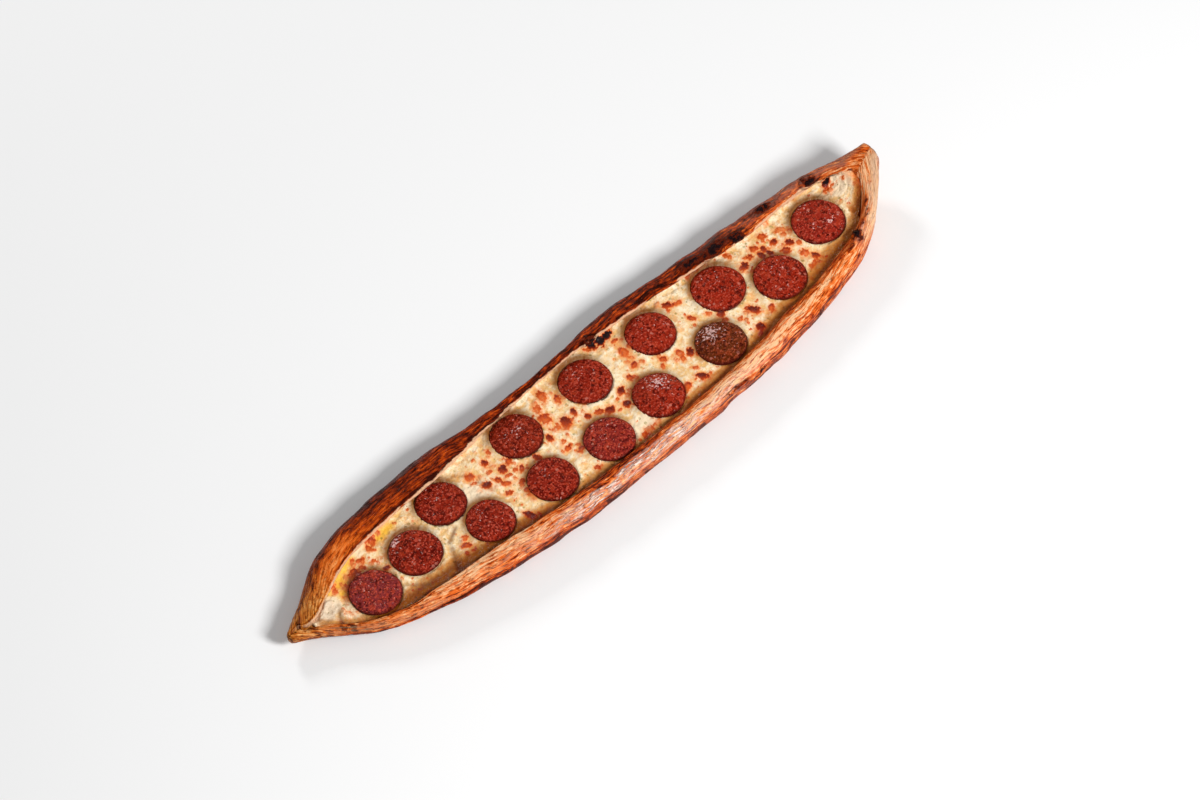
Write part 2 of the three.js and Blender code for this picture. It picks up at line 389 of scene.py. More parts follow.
# ---------------------------------------------------------------- crust

SHORTENING = 1e-5  # sections closer together than this are one section
CRUST_LEVELS = 2
SKIN_POINTS = 15  # points of a section from its foot over the rim to the folded edge

# How browned each rim is, from 0, pale, to 1, nearly black: by the way round it, where 0 is its foot
# and 1 its folded edge, lists of (share of the length, browning).
NEAR_BROWNING = {
    0.36: [(0, 0.45), (0.07, 0.75), (0.14, 0.68), (0.23, 0.6), (0.35, 0.62), (0.6, 0.6), (0.7, 0.5),
           (0.82, 0.52), (0.9, 0.42), (0.96, 0.15), (1, 0.15)],
    0.5: [(0, 0.3), (0.07, 0.5), (0.14, 0.4), (0.23, 0.32), (0.35, 0.3), (0.46, 0.42), (0.58, 0.26),
          (0.7, 0.3), (0.81, 0.42), (0.9, 0.15), (0.95, 0), (0.98, 0.4), (0.99, 0.6), (1, 0.6)],
    0.66: [(0, 0.4), (0.07, 0.42), (0.14, 0.3), (0.23, 0.36), (0.34, 0.4), (0.46, 0.26), (0.58, 0.22),
           (0.7, 0.26), (0.81, 0.34), (0.9, 0.1), (0.94, -0.2), (0.98, -0.2), (0.99, 0.3), (1, 0.3)],
    0.8: [(0, 0.24), (0.07, 0.5), (0.14, 0.28), (0.23, 0.16), (0.34, 0.1), (0.4, 0.5), (0.48, 0.6),
          (0.55, 0.15), (0.62, -0.25), (0.74, -0.2), (0.82, 0), (0.86, 0.3), (0.9, 0.3), (0.94, 0.2),
          (0.97, -0.1), (1, -0.2)],
    0.95: [(0, 0.2), (0.07, 0.44), (0.14, 0.3), (0.2, -0.1), (0.3, 0.08), (0.4, 0.68), (0.52, 0.58),
           (0.64, 0.28), (0.76, 0.58), (0.86, 0.48), (0.93, 0.3), (0.97, 0), (1, -0.05)],
}
FAR_BROWNING = {
    0.6: [(0, 0.5), (0.05, 0.5), (0.1, 0.72), (0.14, 0.85), (0.23, 0.95), (0.34, 0.85), (0.58, 0.95),
          (0.7, 0.9), (0.8, 0.8), (0.9, 0.6), (1, 0.5)],
    0.74: [(0, 0.38), (0.05, 0.4), (0.12, 0.45), (0.16, 0.72), (0.21, 0.86), (0.3, 0.7), (0.46, 0.84),
           (0.58, 0.84), (0.7, 0.8), (0.78, 0.68), (0.88, 0.5), (1, 0.45)],
    0.84: [(0, 0.48), (0.05, 0.38), (0.1, 0.3), (0.14, 0.4), (0.18, 0.66), (0.25, 0.74), (0.34, 0.78),
           (0.58, 0.76), (0.7, 0.74), (0.78, 0.74), (0.84, 0.66), (0.9, 0.55), (0.96, 0.28), (1, 0.12)],
    0.95: [(0, 0.46), (0.05, 0.14), (0.1, 0.2), (0.14, 0.35), (0.2, 0.6), (0.28, 0.84), (0.5, 0.82),
           (0.7, 0.72), (0.78, 0.4), (0.86, 0.4), (0.92, 0.4), (0.97, 0.28), (1, 0.22)],
}
# Where the crest of the near rim is pale with flour and fat and with painted glossy highlights, and where the
# skin is dusty: (share, strength).
NEAR_PALE = [(0, 0), (0.04, 0.2), (0.12, 0.3), (0.2, 0.3), (0.3, 0.35), (0.4, 0.9), (0.47, 1), (0.55, 0.9),
             (0.6, 0.55), (0.66, 0.25), (0.72, 0.1), (0.78, 0), (0.88, 0), (0.94, 0.8), (1, 0.9)]
NEAR_DUST = [(0, 0.8), (0.06, 0.5), (0.12, 0), (0.35, 0.1), (0.48, 0.5), (0.7, 0.35),
             (0.85, 0.2), (0.95, 0.3), (1, 0.5)]
FAR_DUST = [(0, 0.2), (0.1, 0), (0.45, 0), (0.55, 0.07), (0.72, 0.07), (0.82, 0.45), (0.89, 0.95), (1, 1)]
# How much of the far rim's cut edge shows its pale crumb; beyond 1 the crumb shows as a wider band.
FAR_CUT_EDGE = [(0, 0), (0.03, 0.3), (0.05, 0.7), (0.08, 0.45), (0.14, 0.5), (0.25, 0.5), (0.28, 1),
                (0.38, 1), (0.43, 0.7), (0.6, 0.5), (0.73, 0.6), (0.77, 1), (0.84, 0.8), (0.88, 1),
                (0.9, 1.8), (0.945, 2.2), (0.96, 1), (1, 0.4)]
# How dark the crack beside that cut edge is: (share, strength).
FAR_CRACK = [(0, 0.4), (0.03, 1), (0.3, 1), (0.38, 0.6), (0.5, 0.2), (0.75, 0.2), (0.8, 0), (1, 0)]
# How even the skin is, from 0, streaked and browned in patches, to 0.7, smooth: (share, evenness).
NEAR_EVEN = [(0, 0), (0.9, 0), (0.935, 0.65), (1, 0.65)]
FAR_EVEN = [(0, 0.3), (0.05, 0.5), (0.24, 0.5), (0.32, 0.3), (0.4, 0.25), (0.72, 0.25), (0.8, 0), (1, 0)]
# Where the pale skin is more golden: (share, strength).
WARM_PALE = [(0, 1), (0.24, 1), (0.38, 0.1), (0.85, 0), (0.92, 0.6), (1, 0.6)]
# How wrinkled the skin is, and how deep the groove below the near rim's roll: (share, strength).
WRINKLES = [(0, 1), (0.06, 0.8), (0.12, 0.45), (0.25, 0.3), (0.75, 0.25), (0.9, 0.4), (1, 0.5)]
LAYER_GROOVE = [(0, 0), (0.04, 0.8), (0.22, 1), (0.3, 0.3), (0.5, 0.5), (0.8, 0.3), (0.9, 0)]
# How much painted shade, darker and greyer, lies low on the near rim's outer side where it turns under:
# (share, strength).
UNDER_ROLL_SHADE = [(0, 0), (0.06, 0.4), (0.14, 0.8), (0.4, 0.7), (0.6, 0.55), (0.8, 0.5), (0.88, 0.1), (1, 0)]
PLATE_SIZE = (0.02, 0.0045, 1)  # metres along and round the rim
# Where the brown is more golden than red: (share, strength).
NEAR_GOLDEN = [(0, 0.9), (0.05, 0.4), (0.12, 0.1), (0.2, 0), (1, 0)]
FAR_GOLDEN = [(0, 1), (0.05, 0.9), (0.09, 0.35), (0.16, 0.15), (0.25, 0.05), (0.4, 0), (1, 0)]
# The skin's colours where it is redder and where it is more golden: (browning, colour).
RED_CRUST = [
    (0.0, (0.94, 0.52, 0.27, 1)), (0.2, (0.82, 0.23, 0.055, 1)), (0.4, (0.70, 0.115, 0.010, 1)),
    (0.58, (0.47, 0.055, 0.003, 1)), (0.74, (0.23, 0.020, 0.001, 1)), (0.88, (0.11, 0.008, 0.001, 1)),
    (1.0, (0.035, 0.003, 0.001, 1)),
]
GOLDEN_CRUST = [
    (0.0, (0.86, 0.47, 0.15, 1)), (0.4, (0.52, 0.155, 0.014, 1)), (0.7, (0.27, 0.052, 0.003, 1)),
    (1.0, (0.05, 0.009, 0.002, 1)),
]
PINCHED = (-0.258, 0.251)  # beyond these places along the boat its two rims are pressed into one tip
PINCHED_FROM = 11  # the point of a section, counted from its foot, where the bridge between the rims starts

# Charred places: pixel, then length along the rim and width in millimetres, and how black.
CHARRED = [
    (601, 334, 11, 6, 1.0), (590, 341, 6, 4, 0.9), (690, 262, 12, 4, 0.9), (712, 250, 14, 4.5, 1.0),
    (735, 238, 9, 4, 1.0), (762, 208, 9, 3.5, 0.9), (808, 182, 6, 4, 1.0), (825, 179, 3, 5, 0.9),
    (857, 234, 4, 6.5, 1.0), (820, 313, 5, 4, 0.6), (803, 337, 6, 2.5, 0.5), (759, 373, 10, 2, 0.55),
    (734, 390, 14, 2, 0.6), (299, 626, 3, 2.5, 0.5), (790, 222, 20, 1.6, 0.5), (650, 292, 22, 1.4, 0.4),
    (866, 200, 3, 1.6, 0.45), (867, 212, 4, 1.8, 0.5), (864, 222, 4, 2, 0.5), (851, 247, 6, 1.6, 0.5),
]


def ring_walk(bm):
    """The crust's sections, each a list of its points in order, starting beside its lowest edge."""
    at = {}
    for vert in bm.verts:
        at.setdefault(round(vert.co.x / SHORTENING), []).append(vert)
    rings = []
    for key in sorted(at):
        members = set(at[key])
        if len(members) < 3:
            continue
        around = {v: [e.other_vert(v) for e in v.link_edges if e.other_vert(v) in members] for v in members}
        lowest = min(
            ((v, other) for v in members for other in around[v] if v.co.y > other.co.y),
            key=lambda pair: (round(pair[0].co.z + pair[1].co.z, 6), pair[1].co.y - pair[0].co.y),
        )
        ring = [lowest[1], lowest[0]]
        while len(ring) < len(members):
            ring.append(next(v for v in around[ring[-1]] if v is not ring[-2] and v not in ring))
        rings.append(ring[1:] + ring[:1])
    return rings


def close_trough(ring):
    """Bridges the trough between the two crests of a section, where the rims are pinched together."""
    first, last = PINCHED_FROM, len(ring) - PINCHED_FROM
    start, end = ring[first].co.copy(), ring[last].co.copy()
    for index in range(first, last):
        ring[index].co = start.lerp(end, (index - first) / (last - first))


def add_flow(bm):
    """Marks each point of the crust with its place along the boat, its way round the rim and its rim."""
    flow = bm.verts.layers.float_vector.new("flow")
    turn = bm.verts.layers.float.new("turn")
    for ring in ring_walk(bm):
        if not PINCHED[0] < ring[0].co.x < PINCHED[1]:
            close_trough(ring)
        half = len(ring) // 2
        for side, points in ((1, ring[:half + 1]), (-1, ring[:half:-1])):
            gone = 0.0
            reach = sum((b.co - a.co).length for a, b in zip(points[:SKIN_POINTS - 1], points[1:SKIN_POINTS]))
            for index, vert in enumerate(points):
                gone += (vert.co - points[index - 1].co).length if index else 0
                vert[flow] = (vert.co.x, gone, side)
                vert[turn] = gone / reach
    for vert in bm.verts:
        if not any(vert[flow]):
            vert[flow] = (vert.co.x, 0, 0)


def patch(flow, centre, length, width):
    """1 at a place on a rim, fading to 0 around it, over a length along the rim and a width around it."""
    along = (flow[:, 0] - centre[0]) / (length * MM)
    around = (flow[:, 1] - centre[1]) / (width * MM)
    return np.exp(-along ** 2 - around ** 2) * (flow[:, 2] * centre[2] > 0)


def rim_browning(table, share, turn):
    """Reads a rim's table of browning along the boat and round the rim."""
    heights = sorted(table)
    level = curve(table[heights[0]], share)
    for low, high in zip(heights, heights[1:]):
        up = np.clip((turn - low) / (high - low), 0, 1)
        level = level * (1 - up) + curve(table[high], share) * up
    return level


def crust_masks(mesh, places, flow, turn):
    """Stores the masks that the crust's material reads, and returns those that shape its relief."""
    tree = BVHTree.FromPolygons(places.tolist(), [tuple(p.vertices) for p in mesh.polygons])
    share = share_of_length(flow[:, 0])
    near = flow[:, 2] < 0
    browning = np.where(near, rim_browning(NEAR_BROWNING, share, turn),
                        rim_browning(FAR_BROWNING, share, turn))
    browning += 0.1 * noise_over(places, 12 * MM, 3, 3)
    streaks = noise_over(flow, (0.022, 0.0024, 1), 5, 2)
    under_crest = hump(turn, 0.55 - 0.08 * step(share, 0.5, 0.1), 0.05) * step(share, 0.02, 0.1)
    browning += np.where(near, 0.5, 0.0) * under_crest * step(streaks, -0.05, 0.3) * step(share, 0.95, 0.85)
    char = np.zeros(len(places))
    for px, py, length, width, strength in CHARRED:
        hit = tree.ray_cast(EYE, sight_line(px, py))
        if hit[2] is None:
            continue
        centre = flow[list(mesh.polygons[hit[2]].vertices)].mean(axis=0)
        char = np.maximum(char, strength * patch(flow, centre, length, width))
    ragged = noise_over(places, 2.5 * MM, 9, 3)
    browning += 0.3 * step(char, 0.08, 0.5)
    # Wrinkles and the groove below the near rim's roll are pressed into the skin, and painted darker there as
    # shade.
    wrinkles = hump(noise_over(flow, (0.014, 0.005, 1), 13, 2), 0, 0.07) * curve(WRINKLES, share)
    browning += 0.3 * wrinkles
    groove = near * hump(turn, 0.46, 0.03) * curve(LAYER_GROOVE, share)
    browning += 0.45 * groove
    browning += 0.5 * ~near * hump(turn, 0.955, 0.014) * curve(FAR_CRACK, share)
    pale = step(turn, 0.14, 0.02) * 0.6
    flour_and_highlight = step(noise_over(flow, (0.03, 0.0032, 1), 7, 2), -0.45, -0.05)
    crest = step(turn, 0.54, 0.6) * step(turn, 0.88, 0.8)
    outer = step(share, 0.9, 0.95) * step(turn - 0.25 * step(share, 0.955, 0.985), 0.78, 0.62)
    # The crest's pale is flour and fat with painted highlights; the foot and the horn's outer side are pale
    # dough.
    pale = np.maximum(pale, near * curve(NEAR_PALE, share) * np.maximum(crest * flour_and_highlight, 0.8 * outer))
    broken = step(noise_over(flow, (0.012, 0.01, 1), 11, 2), -0.6, 0.0)
    cream = ~near * curve(FAR_CUT_EDGE, share) * step(turn, 1.2, 1.05) * broken * step(share, 0.965, 0.95)
    dust = np.where(near, curve(NEAR_DUST, share) * step(turn, 0.6, 0.45),
                    curve(FAR_DUST, share) * step(turn, 0.98, 0.84))
    masks = {
        "browning": np.clip(browning, 0, 1),
        "char": char,
        "pale": np.clip(pale, 0, 1),
        "cream": cream,
        "dust": np.clip(dust + 0.25 * ragged * dust, 0, 1),
        "scaly": curve(WRINKLES, share),
        "even": np.where(near, curve(NEAR_EVEN, share) * step(turn, 0.98, 0.86), curve(FAR_EVEN, share)),
        "warm_pale": curve(WARM_PALE, share),
        # painted shade where the near rim's outer side turns under
        "under_roll_shade": near * curve(UNDER_ROLL_SHADE, share) * hump(turn, 0.36, 0.08),
        "golden": np.where(near, curve(NEAR_GOLDEN, share), curve(FAR_GOLDEN, share)),
    }
    for name, values in masks.items():
        store(mesh, name, values)
    return char, ragged, wrinkles, groove


def crust_relief(mesh, places, flow, turn, char, ragged, wrinkles, groove):
    """Moves the crust's skin in and out: lumps, fibres drawn along the rims, blisters and creases."""
    outside = step(turn, 0.02, 0.15) * step(turn, 1.25, 1.05)
    lumps = 0.5 * noise_over(places, 16 * MM, 1) + 0.25 * noise_over(places, 6 * MM, 2)
    fibres = 0.42 * noise_over(flow, (0.03, 0.0036, 1), 4, 2)
    blisters = step(char, 0.15, 0.7) * (1.2 + 0.9 * ragged)
    height = (lumps + fibres - 0.6 * wrinkles - 1.3 * groove + blisters) * outside
    move(mesh, places + normals_of(mesh) * (height * MM)[:, None])


def make_crust():
    bm = merged_copy("crust")
    add_flow(bm)
    bmesh.ops.join_triangles(bm, faces=bm.faces, angle_face_threshold=math.pi, angle_shape_threshold=math.pi)
    mesh = mesh_of(smoothed(bm, CRUST_LEVELS), "baked_crust")
    places = array_of(mesh)
    flow = array_of(mesh, "flow")
    turn = array_of(mesh, "turn", 1)
    crust_relief(mesh, places, flow, turn, *crust_masks(mesh, places, flow, turn))
    show(mesh, crust_material(), "crust")


def plate_cracks(tree, flow, wander):
    """The thin cracks between long plates of skin: 1 in a crack and 0 beside it."""
    bent = add(tree, "ShaderNodeVectorMath", {0: flow, 1: about_zero(tree, wander, 0.004)}, operation="ADD")
    plates = add(tree, "ShaderNodeTexVoronoi", {
        "Vector": placed_at(tree, bent.outputs[0], PLATE_SIZE, (0, 0, 0)), "Scale": 1.0,
    }, feature="DISTANCE_TO_EDGE")
    lines = spread(tree, plates.outputs["Distance"], 0.0, 0.07, 1, 0)
    return times(tree, lines, spread(tree, wander, 0.44, 0.58))


def crust_material():
    material, tree, shader = new_material("baked dough", Specular_IOR_Level=0.08, Specular_Tint=WARM_SHEEN)
    flow = attribute(tree, "flow", "Vector")
    turn = attribute(tree, "turn")
    here = object_coordinates(tree)
    long_streaks = grain(tree, flow, (0.028, 0.0028, 1), 4, 0.62)
    fine_streaks = grain(tree, flow, (0.009, 0.0014, 1), 3, 0.6, 5)
    mottles = grain(tree, here, 0.0055, 4, 0.62, 2)
    pores = grain(tree, here, 0.0018, 3, 0.6, 8)
    dashes = spread(tree, grain(tree, flow, (0.007, 0.0016, 1), 3, 0.6, 11), 0.57, 0.65)
    cracks = times(tree, plate_cracks(tree, flow, mottles), attribute(tree, "scaly"))
    uneven = plus(tree, about_zero(tree, long_streaks, 0.6), about_zero(tree, fine_streaks, 2.2))
    uneven = plus(tree, uneven, about_zero(tree, mottles, 0.5))
    uneven = plus(tree, uneven, times(tree, cracks, 0.55))
    uneven = plus(tree, uneven, times(tree, dashes, 0.3))
    uneven = times(tree, uneven, minus(tree, 1, attribute(tree, "even")))
    browned = plus(tree, attribute(tree, "browning"), uneven, clamp=True)
    golden = ramp(tree, browned, *GOLDEN_CRUST)
    colour = blend(tree, attribute(tree, "golden"), ramp(tree, browned, *RED_CRUST), golden)
    dusted = times(tree, attribute(tree, "dust"), spread(tree, fine_streaks, 0.35, 0.6, 0.35, 1))
    colour = blend(tree, times(tree, dusted, 0.85), colour, (0.27, 0.125, 0.09, 1))
    # Painted shade low on the near rim's outer side, broken up by streaks and mottles
    under_roll_shade = plus(tree, attribute(tree, "under_roll_shade"), about_zero(tree, long_streaks, 1.6))
    under_roll_shade = spread(tree, plus(tree, under_roll_shade, about_zero(tree, mottles, 1.2)), 0.42, 0.66, 0, 0.92)
    under_roll_shade = times(tree, under_roll_shade, spread(tree, attribute(tree, "under_roll_shade"), 0, 0.12, 0.25, 1))
    rough_skin = spread(tree, attribute(tree, "even"), 0.1, 0.6, 1, 0.15)
    colour = blend(tree, times(tree, under_roll_shade, rough_skin), colour, (0.065, 0.017, 0.015, 1))
    pebbles = spread(tree, grain(tree, flow, (0.0075, 0.0015, 1), 3, 0.65, 19), 0.43, 0.53)
    # Flour and fat on the crest, together with painted glossy highlights in pebbled streaks
    flour_and_highlight = times(tree, attribute(tree, "pale"), spread(tree, fine_streaks, 0.41, 0.52, 0.05, 1))
    flour_and_highlight_colour = blend(tree, attribute(tree, "warm_pale"), (0.97, 0.76, 0.66, 1), (0.95, 0.60, 0.33, 1))
    colour = blend(tree, times(tree, flour_and_highlight, sums(tree, "MULTIPLY_ADD", pebbles, 0.7, 0.3)), colour, flour_and_highlight_colour)
    dots = spread(tree, grain(tree, flow, (0.004, 0.0014, 1), 2, 0.6, 29), 0.57, 0.65)
    dots = times(tree, sums(tree, "MAXIMUM", dots, dashes), flour_and_highlight)
    dots = times(tree, dots, rough_skin)
    colour = blend(tree, times(tree, dots, 0.75), colour, (0.30, 0.055, 0.02, 1))
    cream = attribute(tree, "cream")
    edge = plus(tree, turn, times(tree, cream, 0.035))
    edge = spread(tree, plus(tree, edge, about_zero(tree, mottles, 0.08)), 0.99, 1.01)
    edge = times(tree, edge, spread(tree, cream, 0.05, 0.35))
    colour = blend(tree, edge, colour, (0.80, 0.46, 0.27, 1))
    bubbles = grain(tree, here, 0.0032, 3, 0.6, 17)
    char = plus(tree, attribute(tree, "char"), about_zero(tree, bubbles, 1.6))
    colour = blend(tree, spread(tree, char, 0.4, 0.6), colour, (0.11, 0.012, 0.003, 1))
    charred = spread(tree, char, 0.68, 0.86)
    colour = blend(tree, charred, colour, (0.012, 0.005, 0.006, 1))
    tree.links.new(colour, shader.inputs["Base Color"])
    roughness = minus(tree, spread(tree, mottles, 0.3, 0.7, 0.25, 0.42), times(tree, charred, 0.1))
    tree.links.new(roughness, shader.inputs["Roughness"])
    relief = minus(tree, plus(tree, long_streaks, fine_streaks), times(tree, dashes, 0.4))
    relief = minus(tree, relief, times(tree, cracks, 0.5))
    relief = plus(tree, relief, times(tree, pores, 0.5))
    relief = plus(tree, relief, times(tree, times(tree, pebbles, flour_and_highlight), 0.35))
    burst = times(tree, spread(tree, attribute(tree, "char"), 0.1, 0.4, 0, 3), bubbles)
    bump(tree, shader, plus(tree, relief, burst), 0.0016, 1.0)
    return material


# ---------------------------------------------------------------- cheese

CHEESE_CELLS = (700, 110)  # along and across
CHEESE_HEIGHT = 15 * MM  # where the pixels below meet it
CHEESE_INTO_WALL = 0.7 * MM
POCKET_MARGIN = 0.9 * MM
MENISCUS = 2.2 * MM  # how far from a slice the cheese bends
UNDER_SLICE = -0.4 * MM  # nearer to a slice's middle than this from its rim, the cheese lies flat under it
SLICE_SHADOW_REACH = 3.2 * MM  # how far from a slice its painted shadow on the cheese reaches, on the slice's far side
BLISTER_SHADED_SIDE = Vector((0.72, 0.69))  # the side of a blister that is painted darkest, as shade on its dome away from the key light
# How far from the near rim its painted shadow reaches over the cheese: (share of the length, millimetres).
RIM_SHADOW_REACH = [(0.05, 1.5), (0.08, 5), (0.12, 11), (0.2, 12), (0.32, 10.5), (0.38, 6.5), (0.48, 5.5),
                   (0.58, 7.5), (0.72, 8.5), (0.88, 9.5), (0.92, 7), (0.95, 3), (1, 1.5)]
TIP_STEP = 1.5 * MM  # the cheese runs on into the tips in steps of this length
TIP_STEPS = 16
TIP_COVER = 1.5 * MM  # how high above the dough the width of the trough is measured there
NARROWEST_TROUGH = 2 * MM
# How far the cheese rises in the tips: (x, millimetres).
END_RISES = [(-0.252, 2.5), (-0.238, 0), (0.212, 0), (0.232, 1.6), (0.239, 2.4), (0.245, 3), (0.251, 3)]
TOASTED_END = (0.241, 0.248)  # between these places along the boat the cheese turns to toasted dough
BELOW_TOP = 2 * MM  # the cheese stays this far below the highest point of the pide

# Browned blisters of the cheese: pixel, size in millimetres and how dark, with 1 for brown and 1.6 for char.
BLISTERS = [
    (372, 542, 2.6, 0.7), (369, 549, 2.0, 0.6), (359, 561, 1.6, 0.7), (362, 567, 1.8, 0.6),
    (354, 571, 2.2, 0.8), (375, 560, 1.5, 0.6), (387, 567, 2.0, 0.9), (334, 588, 1.6, 0.5),
    (466, 545, 2.4, 0.8), (470, 478, 2.8, 0.6), (487, 486, 2.8, 0.9), (485, 464, 2.3, 0.9),
    (503, 470, 2.9, 1.0), (509, 462, 2.3, 0.8), (489, 473, 1.7, 0.5), (499, 481, 2.6, 0.8),
    (506, 484, 2.4, 0.7), (508, 476, 1.8, 0.6), (509, 493, 2.0, 0.8), (489, 454, 1.5, 0.6),
    (522, 469, 2.0, 0.8), (522, 481, 1.8, 0.7), (531, 494, 2.4, 0.5), (530, 515, 3.0, 1.0),
    (536, 458, 2.4, 0.9), (542, 398, 3.4, 0.6), (538, 412, 2.6, 0.5), (558, 400, 2.6, 0.7),
    (546, 420, 3.6, 0.7), (566, 422, 3.6, 0.9), (567, 428, 2.2, 0.6), (556, 430, 2.2, 0.4),
    (550, 439, 2.4, 0.9), (568, 448, 2.1, 0.8), (581, 449, 2.4, 0.7), (574, 413, 2.2, 0.9),
    (588, 417, 2.1, 0.9), (599, 412, 2.3, 0.8), (610, 410, 2.9, 1.0), (627, 404, 2.6, 1.0),
    (621, 391, 2.6, 1.0), (624, 353, 3.4, 0.6), (630, 378, 2.4, 0.8), (634, 365, 2.4, 0.8),
    (663, 359, 2.2, 0.8), (597, 467, 1.9, 0.8), (649, 429, 2.8, 0.35), (657, 422, 2.2, 0.3),
    (615, 342, 1.8, 0.7), (668, 306, 2.9, 0.9), (676, 304, 1.5, 0.5), (692, 318, 2.2, 0.8),
    (690, 352, 2.6, 1.0), (680, 353, 2.6, 0.6), (683, 358, 2.0, 0.6), (702, 376, 3.1, 1.0),
    (687, 386, 2.6, 0.7), (721, 314, 2.8, 0.9), (754, 309, 3.4, 1.0), (747, 307, 1.8, 0.8),
    (771, 307, 2.4, 0.7), (760, 326, 2.8, 1.0), (744, 267, 3.0, 0.9), (695, 270, 2.6, 0.6),
    (688, 277, 1.8, 0.7), (762, 237, 2.3, 0.7), (774, 242, 2.3, 0.9), (789, 242, 2.5, 1.0),
    (799, 242, 1.8, 0.6), (782, 229, 2.2, 0.4), (786, 250, 2.7, 0.8), (754, 249, 2.4, 0.7),
    (764, 249, 2.2, 0.9), (750, 257, 2.0, 0.8), (762, 255, 2.4, 0.9), (770, 253, 2.1, 0.9),
    (805, 252, 2.8, 0.6), (815, 254, 2.6, 0.9), (766, 225, 1.8, 0.3), (790, 231, 1.8, 0.4),
    (814, 262, 1.9, 0.5), (746, 320, 2.0, 0.4), (726, 257, 1.6, 0.6), (640, 384, 1.4, 0.6),
    (585, 404, 1.4, 0.5), (826, 187, 2.2, 1.6), (827, 191, 1.6, 0.8), (350, 577, 2.8, 0.3),
    (345, 586, 2.8, 0.3), (347, 597, 2.4, 0.3), (343, 607, 1.2, 0.5), (344, 613, 1.3, 0.6),
    (345, 619, 1.6, 0.7), (600, 342, 3.4, 1.8), (607, 337, 2.8, 1.8), (592, 347, 2.8, 1.6),
    (588, 351, 2.0, 0.6),
]
BLISTER_SCALE = 1.08
SOLID_BLISTER = 0.85  # darker blisters than this are dark all over, and lighter ones have a paler middle
SATELLITES = 230  # smaller spots close to the blisters
FRECKLES = 420  # tiny browned dots anywhere
FRECKLE_SEED = 4

# Folds and creases in the cheese: pixels of each end, width and depth in millimetres.
CREASES = [
    (455, 528, 449, 542, 1.6, 0.8), (452, 548, 457, 566, 2.4, 0.7), (462, 540, 468, 552, 2.4, -0.6),
    (408, 590, 432, 588, 2.2, -0.5), (404, 583, 428, 583, 1.6, 0.5), (446, 478, 468, 476, 1.6, 0.4),
    (478, 482, 492, 490, 1.8, 0.4), (338, 604, 342, 622, 1.8, 0.8), (328, 598, 336, 606, 2.4, -0.7),
]
# Yellow grease: pixel, length along the boat and width in millimetres.
GREASE = [(327, 591, 5, 4), (332, 584, 5, 4), (337, 577, 6, 4), (342, 570, 6, 4), (348, 563, 6, 3.5),
          (383, 534, 14, 3), (340, 583, 6, 4), (344, 592, 4, 4)]
# Between these shares of the length the cheese gives way to greyer, unbrowned dough.
BARE_DOUGH = (0.085, 0.065)
# Pale folds of bare cheese or dough: pixel, length along the boat and width in millimetres.
PALE_FOLDS = [(322, 614, 9, 7), (332, 604, 6, 6), (836, 188, 9, 9), (818, 205, 9, 5), (640, 428, 16, 9),
              (470, 500, 20, 10), (600, 395, 14, 6), (357, 553, 9, 4)]


def cheese_lines():
    """Along the boat: where the cheese meets the walls of its trough, and the height of its underside."""
    bm = merged_copy("cheese")
    at = {}
    for face in bm.faces:
        if face.normal.z < -0.9:
            for vert in face.verts:
                at.setdefault(round(vert.co.x / SHORTENING), []).append(tuple(vert.co))
    bm.free()
    lines = []
    for key, corners in sorted(at.items()):
        _, ys, zs = zip(*corners)
        lines.append((key * SHORTENING, min(ys), max(ys), min(zs)))
    return lines_into_tips(lines)


def lines_into_tips(lines):
    """The same lines, carried on between the walls of the trough until they close."""
    crust = bpy.data.objects["baked_crust"].data
    tree = BVHTree.FromPolygons(array_of(crust).tolist(), [tuple(p.vertices) for p in crust.polygons])
    for end, onwards in ((0, -1), (-1, 1)):
        x, near, far, floor = lines[end]
        for _ in range(TIP_STEPS):
            x += onwards * TIP_STEP
            middle = Vector((x, (near + far) / 2, 2 * CAD_BOX[1][2]))
            middle.z = tree.ray_cast(middle, Vector((0, 0, -1)))[0].z + TIP_COVER
            hits = [tree.ray_cast(middle, Vector((0, side, 0)))[0] for side in (-1, 1)]
            if not all(hits) or hits[1].y - hits[0].y < NARROWEST_TROUGH:
                break
            near, far = hits[0].y, hits[1].y
            lines.append((x, near, far, floor))
            lines.sort()
    return np.array(lines)


def slice_places():
    """Centre, radius, lowest and highest point of every slice."""
    found = []
    for name in sorted(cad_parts):
        if name.startswith("sucuk"):
            low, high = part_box(name)
            middle = (low + high) / 2
            found.append((name, middle.x, middle.y, (high.x - low.x) / 2, low.z, high.z))
    return found


def level_of_cheese(x, y):
    """The height of the cheese over a grid of places, carried on smoothly where slices lie."""
    bm = merged_copy("cheese")
    tree = BVHTree.FromBMesh(bm)
    bm.free()
    above = 2 * CAD_BOX[1][2]
    down = Vector((0, 0, -1))
    level = np.full(x.shape, np.nan)
    for index in np.ndindex(x.shape):
        hit = tree.ray_cast(Vector((x[index], y[index], above)), down)[0]
        if hit:
            level[index] = hit.z
    for _, cx, cy, radius, _, _ in slice_places():
        level[np.hypot(x - cx, y - cy) < radius + POCKET_MARGIN] = np.nan
    for row, places in zip(level, y):
        known = ~np.isnan(row)
        if known.any():
            row[:] = np.interp(places, places[known], row[known])
    known = ~np.isnan(level[:, 0])
    for column in level.T:
        column[:] = np.interp(x[:, 0], x[known, 0], column[known])
    return level


